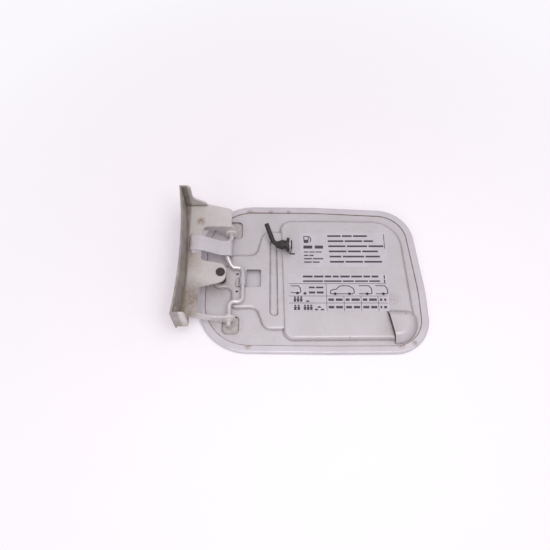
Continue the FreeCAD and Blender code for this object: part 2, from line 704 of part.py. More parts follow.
# Tether plug: rubber end of the cap's strap, snapped into the tab, with its pull-through tail.
PLUG_RODS = (
    ("plug_neck", "plug_neck_radius", "panel_thick + 2.4", f"{WEST} - 1.2"),
    ("plug_head", "plug_neck_radius + 1", "1.4", f"{WEST} + panel_thick"),
    ("plug_flange", "plug_flange_radius", "plug_flange_thick", f"{WEST} - plug_flange_thick"),
    ("plug_waist", "plug_neck_radius + 1", "plug_flange_thick + 1.4", f"{WEST} - 2 * plug_flange_thick"),
)
plug_rods = []
for name, radius, length, x in PLUG_RODS:
    plug_rods.append(rod(name, radius, length, (x, "tab_mid_y", PLUG_Z), "X"))
BULB_AT = (f"{WEST} - plug_flange_thick - 1", "tab_mid_y", PLUG_Z)
plug_cone = cone("plug_cone", "plug_bulb_radius", "plug_tail_radius + 0.4", "plug_bulb_length", BULB_AT, "-X")
plug_bulb = rounded("plug_bulb", plug_cone, "plug_round", on_big_end)
tail_ring = ring_section("tail_ring", "tail", "plug_tail_radius", FreeCAD.Rotation(V(0, 1, 0), 90))
plug_tail = sweep("plug_tail", tail_ring, spine("tail", "tail_spine"))
tether_plug = fuse("tether_plug", *plug_rods, plug_bulb, plug_tail)

# Labels on the panel's raised field.
fuel_label = plate("fuel_label", "fuel_label", LABEL_Z, f"{LABEL_Z} + label_thick")
pressure_label = plate("pressure_label", "pressure_label", LABEL_Z, f"{LABEL_Z} + label_thick")

NODES = [
    outer_skin,
    inner_panel,
    hinge_wire,
    hinge_bracket,
    upper_bush,
    lower_bush,
    stop_buffer,
    leaf_spring,
    tether_plug,
    fuel_label,
    pressure_label,
]

doc.recompute()
for item in doc.Objects:
    if "Invalid" in item.State or "Error" in item.State:
        raise RuntimeError(f"{item.Label} did not build: {item.State}")
for node in NODES:
    node.Label = node.Name
    if node.Shape.isNull() or not node.Shape.isValid():
        raise RuntimeError(f"{node.Label} has no sound shape")
    node.Shape.exportStep(f"parts/{node.Label}.step")
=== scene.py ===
"""Car fuel filler flap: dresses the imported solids, prints the labels and lays the hem's sealer bead.

Lengths are millimetres in the object's own frame, and MM turns them to metres.
"""

import logging
import math
from collections.abc import Sequence
from dataclasses import dataclass, field
from enum import Enum
from typing import Any

import bpy
import numpy as np
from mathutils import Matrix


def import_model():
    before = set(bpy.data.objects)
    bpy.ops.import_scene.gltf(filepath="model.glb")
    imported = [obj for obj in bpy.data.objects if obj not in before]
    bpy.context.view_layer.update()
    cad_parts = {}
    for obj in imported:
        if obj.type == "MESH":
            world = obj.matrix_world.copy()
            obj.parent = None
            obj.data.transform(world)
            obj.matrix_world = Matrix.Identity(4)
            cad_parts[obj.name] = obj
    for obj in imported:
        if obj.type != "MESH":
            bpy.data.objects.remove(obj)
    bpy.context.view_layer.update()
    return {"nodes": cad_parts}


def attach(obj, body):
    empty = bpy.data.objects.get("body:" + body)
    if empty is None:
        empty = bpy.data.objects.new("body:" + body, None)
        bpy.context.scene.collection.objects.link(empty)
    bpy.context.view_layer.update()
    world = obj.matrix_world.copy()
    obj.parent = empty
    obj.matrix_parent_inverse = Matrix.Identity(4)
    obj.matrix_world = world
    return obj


LOG = logging.getLogger("fuel_flap")
MM = 0.001
FULL_TURN = 2.0 * math.pi

# Sockets of the Mix node where it mixes colours: its share, the colours under and over, and the result.
MIX_SHARE = 0
MIX_UNDER = 6
MIX_OVER = 7
MIX_RESULT = 2

# Colours of flake, dirt and wear on paint, and of painted shade.
WHITE_FLAKE = "#ffffff"
HAND_GRIME = "#8d8279"
# Painted shade, dark in creases and inner corners.
CREASE_SHADE_COLOUR = "#54483f"
# Painted shade on the bracket's upright wall.
WALL_SHADE_COLOUR = "#766d63"
RUST = "#7a5236"
MUD = "#86705c"
DRY_DIRT = "#84776a"
SEAT_DIRT = "#8a7a68"
HINGE_DUST = "#9a8e84"
CLIP_DUST = "#9c9184"
# Painted shade beside the latch hood.
HOOD_SHADE_COLOUR = "#98908f"
LATCH_DUST = "#a09894"
DARK_NICK = "#5c534f"

Place = tuple[float, float, float]
Span = tuple[float, float, float, float]
Words = tuple[float, float, float, float, int]
Flat = Sequence[tuple[float, float]] | np.ndarray


class Body(Enum):
    """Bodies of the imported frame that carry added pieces."""

    FLAP = "flap"


class CarView(Enum):
    """How much of a car a table sign shows."""

    WHOLE = "whole"
    REAR = "rear"


# Car signs as shares of their width and height: the roof line, the sill's ends and the wheels' places.
CAR_FRONT = ((0.05, 0.0), (0.0, 0.1), (0.03, 0.42), (0.12, 0.5), (0.26, 0.58), (0.4, 0.95))
CAR_TAIL = ((0.55, 1.0), (0.8, 0.97), (0.95, 0.7), (1.0, 0.45), (1.0, 0.12), (0.93, 0.0))
CAR_ROOFS = {CarView.WHOLE: CAR_FRONT + CAR_TAIL, CarView.REAR: ((0.0, 1.0),) + CAR_TAIL}
CAR_SILLS = {CarView.WHOLE: ((0.93, 0.0), (0.05, 0.0)), CarView.REAR: ((0.93, 0.0), (0.0, 0.0))}
CAR_WHEELS = {CarView.WHOLE: (0.2, 0.8), CarView.REAR: (0.62,)}


def linear(colour: str) -> tuple[float, float, float, float]:
    """Turn a hex sRGB colour into linear RGBA.

    Args:
        colour: a mark and six hex digits.

    Returns:
        Linear red, green and blue, and full cover.
    """
    raw = np.array([int(colour[k : k + 2], 16) for k in (1, 3, 5)]) / 255.0
    value = np.where(raw <= 0.04045, raw / 12.92, ((raw + 0.055) / 1.055) ** 2.4)
    return (*value.tolist(), 1.0)


def per_mm(size: float) -> float:
    """Return the pattern scale whose features are about size millimetres across."""
    return 1.0 / (size * MM)


def add_node(
    tree: bpy.types.NodeTree, kind: str, links: dict[str | int, Any] | None = None, **settings: Any
) -> bpy.types.Node:
    """Add one shader node, with its settings, values and links.

    Args:
        tree: where the node goes.
        kind: the node's type.
        links: for each input name or number a value, a socket, or a node whose first output is meant.
        settings: fields of the node, set before its inputs.

    Returns:
        The new node.
    """
    node = tree.nodes.new(kind)
    for name, value in settings.items():
        setattr(node, name, value)
    for key, value in (links or {}).items():
        source = value.outputs[0] if isinstance(value, bpy.types.Node) else value
        if isinstance(source, bpy.types.NodeSocket):
            tree.links.new(source, node.inputs[key])
        else:
            node.inputs[key].default_value = source
    return node


def seen_rays(tree: bpy.types.NodeTree) -> bpy.types.Node:
    """Tell the rays that show the background, straight, mirrored or through glass, from those that light.

    Args:
        tree: where the nodes go.

    Returns:
        A node that gives 1 for a ray that shows it and 0 for any other.
    """
    ray = add_node(tree, "ShaderNodeLightPath")
    seen = add_node(
        tree,
        "ShaderNodeMath",
        {0: ray.outputs["Is Camera Ray"], 1: ray.outputs["Is Glossy Ray"]},
        operation="MAXIMUM",
    )
    return add_node(
        tree, "ShaderNodeMath", {0: seen, 1: ray.outputs["Is Transmission Ray"]}, operation="MAXIMUM"
    )


def empty_material(name: str) -> tuple[bpy.types.Material, bpy.types.NodeTree, bpy.types.NodeSocket]:
    """Make a material that holds only the place on its piece.

    Args:
        name: its name.

    Returns:
        The material, its node tree and the socket of the place.
    """
    material = bpy.data.materials.new(name)
    material.use_nodes = True
    tree = material.node_tree
    tree.nodes.clear()
    return material, tree, add_node(tree, "ShaderNodeTexCoord").outputs["Object"]


def add_piece(
    name: str, points: np.ndarray, faces: list[Sequence[int]], material: bpy.types.Material
) -> bpy.types.Object:
    """Make one mesh piece from corners and faces.

    Args:
        name: the piece's name.
        points: corners in millimetres, one row each.
        faces: corner numbers of each face.
        material: its material.

    Returns:
        The new object, at the origin.
    """
    mesh = bpy.data.meshes.new(name)
    mesh.from_pydata((points * MM).tolist(), [], faces)
    mesh.materials.append(material)
    piece = bpy.data.objects.new(name, mesh)
    bpy.context.scene.collection.objects.link(piece)
    LOG.info("%s: %d faces", name, len(faces))
    return piece


@dataclass(frozen=True)
class StainOrShade:
    """A round patch of dirt or rust on paint, or of painted shade, more or less broken up into specks."""

    centre: Place
    reach: float
    strength: float
    colour: str
    patchy: float = 1.0
    core: float = 0.25

    def share(
        self, tree: bpy.types.NodeTree, place: bpy.types.NodeSocket, grain: bpy.types.Node
    ) -> bpy.types.Node:
        """Fade the patch out from its core to its reach, and break it up by a grain.

        Args:
            tree: where the nodes go.
            place: socket of the place on the piece.
            grain: the grain that all patches share.

        Returns:
            The node that gives the patch's share.
        """
        broken = add_node(
            tree,
            "ShaderNodeMapRange",
            {"Value": grain, "From Min": 0.32, "From Max": 0.62, "To Min": 1.0 - self.patchy},
        )
        centre = tuple(axis * MM for axis in self.centre)
        away = add_node(tree, "ShaderNodeVectorMath", {0: place, 1: centre}, operation="DISTANCE")
        near = add_node(
            tree,
            "ShaderNodeMapRange",
            {
                "Value": away.outputs["Value"],
                "From Min": self.reach * MM,
                "From Max": self.core * self.reach * MM,
                "To Max": self.strength,
            },
        )
        return add_node(tree, "ShaderNodeMath", {0: near, 1: broken}, operation="MULTIPLY")


@dataclass(frozen=True)
class PaintedWallShade:
    """Painted shade on an upright wall, in streaks, that grows along X from its start to its full strength.
    """

    start: float
    full: float
    strength: float
    colour: str = WALL_SHADE_COLOUR
    streak_size: float = 11.0

    def share(self, tree: bpy.types.NodeTree, place: bpy.types.NodeSocket) -> bpy.types.Node:
        """Grow the painted shade along X, and let a coarse pattern thin it in places.

        Args:
            tree: where the nodes go.
            place: socket of the place on the piece.

        Returns:
            The node that gives the painted shade's share.
        """
        split = add_node(tree, "ShaderNodeSeparateXYZ", {"Vector": place})
        beyond = add_node(
            tree,
            "ShaderNodeMapRange",
            {
                "Value": split.outputs["X"],
                "From Min": self.start * MM,
                "From Max": self.full * MM,
                "To Max": self.strength,
            },
        )
        streak = add_node(
            tree,
            "ShaderNodeTexNoise",
            {"Vector": place, "Scale": per_mm(self.streak_size), "Detail": 4.0, "Roughness": 0.65},
        )
        streaked = add_node(
            tree,
            "ShaderNodeMapRange",
            {"Value": streak, "From Min": 0.25, "From Max": 0.6, "To Min": 0.55},
        )
        return add_node(tree, "ShaderNodeMath", {0: beyond, 1: streaked}, operation="MULTIPLY")


@dataclass(frozen=True)
class SilverLacquer:
    """Sprayed silver lacquer on steel: pale, semi-gloss, part metallic from its flake, with painted shade
    in creases.
    """

    name: str
    colour: str
    shade: str
    roughness: float
    metallic: float
    grime: float
    crease_shade: float
    stains_and_shade: tuple[StainOrShade, ...] = ()
    wall_shade: PaintedWallShade | None = None
    cloud_size: float = 26.0
    flake_size: float = 0.35
    flake_strength: float = 0.16
    grime_size: float = 7.0
    crease_reach: float = 2.2
    crease_open: float = 0.96
    crease_shut: float = 0.6
    crease_samples: int = 8
    crease_gap_size: float = 3.0
    patch_grain: float = 2.4
    wear_size: float = 9.0
    wear_gloss: float = 0.06
    wear_dull: float = 0.08
    peel_size: float = 1.6
    peel_strength: float = 0.015
    peel_depth: float = 0.12

    def flake_share(self, tree: bpy.types.NodeTree, place: bpy.types.NodeSocket) -> bpy.types.Node:
        """Scatter pale flake, drawn coarser than real flake so that it shows.

        Args:
            tree: where the nodes go.
            place: socket of the place on the piece.

        Returns:
            The node that gives the flake's share.
        """
        flake = add_node(
            tree, "ShaderNodeTexNoise", {"Vector": place, "Scale": per_mm(self.flake_size), "Detail": 2.0}
        )
        return add_node(
            tree,
            "ShaderNodeMapRange",
            {"Value": flake, "From Min": 0.45, "From Max": 0.75, "To Max": self.flake_strength},
        )

    def grime_share(self, tree: bpy.types.NodeTree, place: bpy.types.NodeSocket) -> bpy.types.Node:
        """Spread the faint grime that handling leaves, in uneven patches.

        Args:
            tree: where the nodes go.
            place: socket of the place on the piece.

        Returns:
            The node that gives the grime's share.
        """
        smear = add_node(
            tree,
            "ShaderNodeTexNoise",
            {"Vector": place, "Scale": per_mm(self.grime_size), "Detail": 5.0, "Roughness": 0.7},
        )
        return add_node(
            tree,
            "ShaderNodeMapRange",
            {"Value": smear, "From Min": 0.52, "From Max": 0.72, "To Max": self.grime},
        )

    def crease_shade_share(self, tree: bpy.types.NodeTree, place: bpy.types.NodeSocket) -> bpy.types.Node:
        """Paint shade as a thin broken line in the piece's own inner corners, found by ambient occlusion.

        Args:
            tree: where the nodes go.
            place: socket of the place on the piece.

        Returns:
            The node that gives the painted shade's share.
        """
        # Painted shade: ambient occlusion darkens the colour in the piece's inner corners.
        hollow = add_node(
            tree,
            "ShaderNodeAmbientOcclusion",
            {"Distance": self.crease_reach * MM},
            samples=self.crease_samples,
            only_local=True,
        )
        corner = add_node(
            tree,
            "ShaderNodeMapRange",
            {
                "Value": hollow.outputs["AO"],
                "From Min": self.crease_open,
                "From Max": self.crease_shut,
                "To Max": self.crease_shade,
            },
        )
        gap = add_node(
            tree,
            "ShaderNodeTexNoise",
            {"Vector": place, "Scale": per_mm(self.crease_gap_size), "Detail": 3.0},
        )
        gapped = add_node(
            tree, "ShaderNodeMapRange", {"Value": gap, "From Min": 0.3, "From Max": 0.55, "To Min": 0.55}
        )
        return add_node(tree, "ShaderNodeMath", {0: corner, 1: gapped}, operation="MULTIPLY")

    def layers(
        self, tree: bpy.types.NodeTree, place: bpy.types.NodeSocket
    ) -> list[tuple[bpy.types.Node, str]]:
        """List what lies over the silver, from below: flake, grime, painted shade in creases and on the
        wall, and patches of dirt, rust and painted shade.

        Args:
            tree: where the nodes go.
            place: socket of the place on the piece.

        Returns:
            For each layer the node that gives its share, and its colour.
        """
        found = [
            (self.flake_share(tree, place), WHITE_FLAKE),
            (self.grime_share(tree, place), HAND_GRIME),
            (self.crease_shade_share(tree, place), CREASE_SHADE_COLOUR),
        ]
        if self.wall_shade:
            found.append((self.wall_shade.share(tree, place), self.wall_shade.colour))
        grain = add_node(
            tree,
            "ShaderNodeTexNoise",
            {"Vector": place, "Scale": per_mm(self.patch_grain), "Detail": 4.0, "Roughness": 0.65},
        )
        found.extend((stain_or_shade.share(tree, place, grain), stain_or_shade.colour) for stain_or_shade in self.stains_and_shade)
        return found

    def material(self) -> bpy.types.Material:
        """Build the lacquer: silver in slow clouds, its layers, uneven gloss and a faint peel.

        Returns:
            The material.
        """
        material, tree, place = empty_material(self.name)
        cloud = add_node(
            tree, "ShaderNodeTexNoise", {"Vector": place, "Scale": per_mm(self.cloud_size), "Detail": 3.0}
        )
        clouded = add_node(tree, "ShaderNodeMapRange", {"Value": cloud, "From Min": 0.3, "From Max": 0.7})
        colour = add_node(
            tree,
            "ShaderNodeMix",
            {MIX_SHARE: clouded, MIX_UNDER: linear(self.colour), MIX_OVER: linear(self.shade)},
            data_type="RGBA",
        )
        for share, tint in self.layers(tree, place):
            colour = add_node(
                tree,
                "ShaderNodeMix",
                {MIX_SHARE: share, MIX_UNDER: colour.outputs[MIX_RESULT], MIX_OVER: linear(tint)},
                data_type="RGBA",
            )
        wear = add_node(
            tree, "ShaderNodeTexNoise", {"Vector": place, "Scale": per_mm(self.wear_size), "Detail": 3.0}
        )
        rough = add_node(
            tree,
            "ShaderNodeMapRange",
            {
                "Value": wear,
                "From Min": 0.3,
                "From Max": 0.7,
                "To Min": self.roughness - self.wear_gloss,
                "To Max": self.roughness + self.wear_dull,
            },
        )
        peel = add_node(
            tree, "ShaderNodeTexNoise", {"Vector": place, "Scale": per_mm(self.peel_size), "Detail": 2.0}
        )
        normal = add_node(
            tree,
            "ShaderNodeBump",
            {"Height": peel, "Strength": self.peel_strength, "Distance": self.peel_depth * MM},
        )
        shader = add_node(
            tree,
            "ShaderNodeBsdfPrincipled",
            {
                "Base Color": colour.outputs[MIX_RESULT],
                "Roughness": rough,
                "Metallic": self.metallic,
                "Normal": normal,
            },
        )
        add_node(tree, "ShaderNodeOutputMaterial", {"Surface": shader})
        return material


@dataclass(frozen=True)
class MattSkin:
    """Matt surface with a fine grain: moulded rubber or plastic, film, ink or sealer."""

    name: str
    colour: str
    shade: str
    roughness: float
    grain: float
    bump: float
    specular: float = 0.4
    clouds_per_grain: float = 12.0
    depth_per_grain: float = 0.4
    gloss_spread: float = 0.07

    def material(self) -> bpy.types.Material:
        """Build the skin: two near colours in clouds, and a fine grain in gloss and height.

        Returns:
            The material.
        """
        material, tree, place = empty_material(self.name)
        grain = add_node(
            tree,
            "ShaderNodeTexNoise",
            {"Vector": place, "Scale": per_mm(self.grain), "Detail": 4.0, "Roughness": 0.6},
        )
        cloud = add_node(
            tree,
            "ShaderNodeTexNoise",
            {"Vector": place, "Scale": per_mm(self.grain * self.clouds_per_grain), "Detail": 3.0},
        )
        clouded = add_node(tree, "ShaderNodeMapRange", {"Value": cloud, "From Min": 0.35, "From Max": 0.68})
        colour = add_node(
            tree,
            "ShaderNodeMix",
            {MIX_SHARE: clouded, MIX_UNDER: linear(self.colour), MIX_OVER: linear(self.shade)},
            data_type="RGBA",
        )
        rough = add_node(
            tree,
            "ShaderNodeMapRange",
            {
                "Value": grain,
                "From Min": 0.3,
                "From Max": 0.7,
                "To Min": self.roughness - self.gloss_spread,
                "To Max": self.roughness + self.gloss_spread,
            },
        )
        depth = self.depth_per_grain * self.grain * MM
        normal = add_node(
            tree, "ShaderNodeBump", {"Height": grain, "Strength": self.bump, "Distance": depth}
        )
        shader = add_node(
            tree,
            "ShaderNodeBsdfPrincipled",
            {
                "Base Color": colour.outputs[MIX_RESULT],
                "Roughness": rough,
                "Normal": normal,
                "Specular IOR Level": self.specular,
            },
        )
        add_node(tree, "ShaderNodeOutputMaterial", {"Surface": shader})
        return material


@dataclass(frozen=True)
class PaperBoard:
    """Matt white paper board that fades into the pale surroundings far from the part."""

    name: str = "paper_board"
    colour: str = "#fdfafe"
    shade: str = "#fbf8fd"
    far_colour: str = "#fbf8fd"
    roughness: float = 0.9
    specular: float = 0.1
    fibre: float = 24.0
    fade_start: float = 150.0
    fade_end: float = 380.0

    def material(self) -> bpy.types.Material:
        """Build the board: lit paper near the part and, for rays that show it, plain background beyond.

        Returns:
            The material.
        """
        material, tree, place = empty_material(self.name)
        fibre = add_node(
            tree, "ShaderNodeTexNoise", {"Vector": place, "Scale": per_mm(self.fibre), "Detail": 3.0}
        )
        colour = add_node(
            tree,
            "ShaderNodeMix",
            {MIX_SHARE: fibre, MIX_UNDER: linear(self.colour), MIX_OVER: linear(self.shade)},
            data_type="RGBA",
        )
        paper = add_node(
            tree,
            "ShaderNodeBsdfPrincipled",
            {
                "Base Color": colour.outputs[MIX_RESULT],
                "Roughness": self.roughness,
                "Specular IOR Level": self.specular,
            },
        )
        away = add_node(tree, "ShaderNodeVectorMath", {0: place}, operation="LENGTH")
        distant = add_node(
            tree,
            "ShaderNodeMapRange",
            {
                "Value": away.outputs["Value"],
                "From Min": self.fade_start * MM,
                "From Max": self.fade_end * MM,
            },
        )
        share = add_node(tree, "ShaderNodeMath", {0: distant, 1: seen_rays(tree)}, operation="MULTIPLY")
        glow = add_node(tree, "ShaderNodeEmission", {"Color": linear(self.far_colour), "Strength": 1.0})
        surface = add_node(tree, "ShaderNodeMixShader", {0: share, 1: paper, 2: glow})
        add_node(tree, "ShaderNodeOutputMaterial", {"Surface": surface})
        return material


# Lacquer on the outer sheet: clean, with rust creeping out of the hem's edge.
SKIN_LACQUER = SilverLacquer(
    name="skin_lacquer",
    colour="#c4c0c7",
    shade="#bbb6bc",
    roughness=0.38,
    metallic=0.22,
    grime=0.06,
    crease_shade=0.3,
    stains_and_shade=(
        StainOrShade((-46.0, 61.8, 4.4), 4.5, 0.8, RUST),
        StainOrShade((-28.0, 62.0, 4.4), 3.5, 0.75, RUST),
        StainOrShade((-12.0, 61.8, 4.4), 3.5, 0.8, RUST),
        StainOrShade((-46.0, -62.3, 4.4), 4.0, 0.75, RUST),
        StainOrShade((78.0, -61.6, 4.4), 4.0, 0.75, RUST),
        StainOrShade((89.0, -60.0, 4.4), 3.0, 0.7, RUST),
    ),
)
# Lacquer on the pressed panel: painted shade as dark lines in the pressings' feet, road dirt round the
# hinge, and painted shade beside the hood.
PANEL_LACQUER = SilverLacquer(
    name="panel_lacquer",
    colour="#bfbbc0",
    shade="#b7b2b5",
    roughness=0.39,
    metallic=0.22,
    grime=0.1,
    crease_shade=0.95,
    stains_and_shade=(
        StainOrShade((-74.0, -4.0, 5.0), 16.0, 0.55, HINGE_DUST),
        StainOrShade((-60.0, -44.0, 3.0), 12.0, 0.45, MUD),
        StainOrShade((-58.0, 45.0, 3.0), 10.0, 0.4, MUD),
        StainOrShade((-42.0, -3.0, 3.5), 11.0, 0.3, CLIP_DUST),
        StainOrShade((-84.0, -45.0, 3.7), 14.0, 0.5, RUST),
        StainOrShade((82.5, -37.0, 12.5), 1.3, 1.0, DARK_NICK),
        StainOrShade((36.4, -55.5, 6.9), 0.9, 1.0, DARK_NICK),
        # Painted shade beside the latch hood.
        StainOrShade((73.0, -22.0, 6.9), 9.0, 0.5, HOOD_SHADE_COLOUR),
        StainOrShade((70.0, -50.0, 6.9), 13.0, 0.4, LATCH_DUST),
    ),
)
# Lacquer on the folded bracket: painted shade on the upright wall and in its folds, dry dirt on the floor
# and one rust spot.
BRACKET_LACQUER = SilverLacquer(
    name="bracket_lacquer",
    colour="#c8c3c4",
    shade="#bbb4b3",
    roughness=0.42,
    metallic=0.2,
    grime=0.2,
    crease_shade=0.7,
    stains_and_shade=(
        StainOrShade((-93.0, -27.0, 22.0), 21.0, 0.9, DRY_DIRT, 0.45),
        StainOrShade((-95.5, 13.0, 22.0), 5.0, 0.7, SEAT_DIRT),
        StainOrShade((-95.5, 29.0, 22.0), 4.0, 0.6, SEAT_DIRT),
        StainOrShade((-87.5, 43.5, 22.0), 5.0, 0.8, RUST),
        StainOrShade((-96.0, -46.0, 24.0), 14.0, 0.7, MUD, 0.5),
        StainOrShade((-98.0, 8.0, 26.0), 20.0, 0.5, MUD, 0.5),
    ),
    # Painted shade that darkens the upright wall.
    wall_shade=PaintedWallShade(-95.5, -97.5, 0.85),
)
# Lacquer on round wire: glossier, so that the wire shows a long highlight.
WIRE_LACQUER = SilverLacquer(
    name="wire_lacquer",
    colour="#cfcace",
    shade="#bdb7b8",
    roughness=0.26,
    metallic=0.4,
    grime=0.2,
    crease_shade=0.4,
)
# Lacquer on the spring strip: clean, dirty only where it sits in the bracket's notch.
LEAF_LACQUER = SilverLacquer(
    name="leaf_lacquer",
    colour="#c5c1c8",
    shade="#bab5b9",
    roughness=0.39,
    metallic=0.22,
    grime=0.12,
    crease_shade=0.5,
    stains_and_shade=(StainOrShade((-96.0, 21.0, 21.0), 7.0, 0.7, MUD),),
)
# Moulded acetal: off-white and slightly shiny.
ACETAL = MattSkin("moulded_acetal", "#d8d5d3", "#c9c4bf", 0.5, 0.5, 0.1)
# Moulded black rubber, greyed by dust: dull and dark grey.
DUSTY_RUBBER = MattSkin("dusty_rubber", "#3a3334", "#48413f", 0.68, 0.35, 0.25, 0.3)
# Moulded black rubber, rubbed clean: nearly black, with soft highlights.
CLEAN_RUBBER = MattSkin("clean_rubber", "#241f20", "#2f292a", 0.5, 0.35, 0.2, 0.4)
# Vinyl label film: smooth and a little bluer than the paint under it.
VINYL_FILM = MattSkin("vinyl_film", "#c6c2ca", "#bfbac2", 0.38, 0.8, 0.04)
# Screen-printed ink: even dark grey.
SCREEN_INK = MattSkin("screen_ink", "#3d383b", "#4a4548", 0.5, 0.4, 0.02)
# Seam sealer: dull grey paste, rusty in places.
SEAM_SEALER = MattSkin("seam_sealer", "#8f8580", "#6d5443", 0.7, 0.6, 0.3, 0.25)

Finishes = tuple[tuple[SilverLacquer | MattSkin, tuple[str, ...]], ...]


@dataclass
class LabelPrint:
    """Flat ink of one label, gathered as groups of like shapes and laid at one level as one mesh."""

    name: str
    seed: int
    level: float = 7.06
    line_width: float = 0.75
    word_gap: float = 0.7
    word_spread: tuple[float, float] = (0.7, 1.5)
    round_points: int = 20
    groups: list[np.ndarray] = field(default_factory=list)

    def bars(self, spans: Sequence[Span]) -> None:
        """Add upright rectangles, each from left and low to right and high.

        Args:
            spans: left, low, right and high of each.
        """
        left, low, right, high = np.array(spans, dtype=float).T
        across = np.stack([left, right, right, left], axis=1)
        up = np.stack([low, low, high, high], axis=1)
        self.groups.append(np.stack([across, up], axis=2))

    def word_line(self, left: float, right: float, y: float, height: float, words: int) -> None:
        """Add a line of plain bars: uneven shares of the span, with equal gaps between them.

        Args:
            left: where the line starts.
            right: where it ends.
            y: its middle.
            height: the bars' height.
            words: how many bars.
        """
        gap = self.word_gap * height
        draw = np.random.default_rng([self.seed, len(self.groups)])
        shares = draw.uniform(*self.word_spread, words)
        shares *= (right - left - gap * (words - 1)) / shares.sum()
        starts = left + np.cumsum(shares + gap) - shares - gap
        low = np.full(words, y - height / 2)
        self.bars(list(zip(starts, low, starts + shares, low + height)))

    def stroke(self, path: Flat) -> None:
        """Add a drawn line: each step of the path widened to both sides and lengthened by half its width.

        Args:
            path: the line's corners.
        """
        corners = np.array(path, dtype=float)
        step = corners[1:] - corners[:-1]
        step *= self.line_width / 2 / np.linalg.norm(step, axis=1, keepdims=True)
        side = np.stack([-step[:, 1], step[:, 0]], axis=1)
        first = corners[:-1] - step
        last = corners[1:] + step
        self.groups.append(np.stack([first - side, last - side, last + side, first + side], axis=1))

    def rounds(self, centres: Flat, radius: float, turn: float = FULL_TURN) -> None:
        """Add dots, or half dots for half a turn: points at one radius at even angles.

        Args:
            centres: middle of each.
            radius: their radius.
            turn: how much of a circle each is.
        """
        angle = np.linspace(0.0, turn, self.round_points, endpoint=turn < FULL_TURN)
        rim = radius * np.stack([np.cos(angle), np.sin(angle)], axis=1)
        self.groups.append(np.array(centres, dtype=float)[:, None, :] + rim[None, :, :])

    def build(self, material: bpy.types.Material) -> bpy.types.Object:
        """Make all groups into one flat mesh that rides on the flap.

        Args:
            material: the ink.

        Returns:
            The new piece.
        """
        flat = np.concatenate([group.reshape(-1, 2) for group in self.groups])
        points = np.column_stack([flat, np.full(len(flat), self.level)])
        faces = []
        start = 0
        for group in self.groups:
            count = group.shape[0] * group.shape[1]
            faces.extend(np.arange(start, start + count).reshape(group.shape[:2]).tolist())
            start += count
        piece = add_piece(self.name, points, faces, material)
        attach(piece, Body.FLAP.value)
        return piece


@dataclass
class FuelPrint(LabelPrint):
    """Fuel label: plain pump sign, small blocks, and six lines of bars."""

    name: str = "fuel_print"
    seed: int = 11
    pump_base: Span = (0.8, 30.4, 4.8, 33.6)
    pump_frame: Flat = ((0.95, 33.0), (0.95, 36.9), (4.65, 36.9), (4.65, 33.0))
    pump_hose: Flat = ((5.4, 36.6), (6.6, 35.2), (6.9, 33.2), (6.3, 31.4))
    blocks: tuple[Words, ...] = ((0.4, 17.4, 26.4, 3.0, 2), (0.6, 16.2, 21.6, 1.0, 3))
    note_left: float = 0.8
    note_top: float = 18.3
    note_pitch: float = 3.2
    note_height: float = 1.2
    note_words: int = 2
    note_ends: tuple[float, ...] = (9.0, 17.2, 14.0)
    text_left: float = 21.4
    text_step: float = 0.3
    text_top: float = 37.2
    text_pitch: float = 5.0
    text_height: float = 1.7
    text_words: int = 3
    text_ends: tuple[float, ...] = (56.0, 61.0, 69.6, 64.6, 66.0, 67.4)
    edge_bars: tuple[Span, ...] = ((70.3, 25.0, 70.9, 31.0), (70.3, 32.0, 70.9, 39.0))

    def lay_out(self) -> None:
        """Place every shape of the label."""
        self.bars([self.pump_base])
        self.stroke(self.pump_frame)
        self.stroke(self.pump_hose)
        for block in self.blocks:
            self.word_line(*block)
        for k, end in enumerate(self.note_ends):
            y = self.note_top - self.note_pitch * k
            self.word_line(self.note_left, end, y, self.note_height, self.note_words)
        for k, end in enumerate(self.text_ends):
            left = self.text_left + self.text_step * k
            y = self.text_top - self.text_pitch * k
            self.word_line(left, end, y, self.text_height, self.text_words)
        self.bars(self.edge_bars)


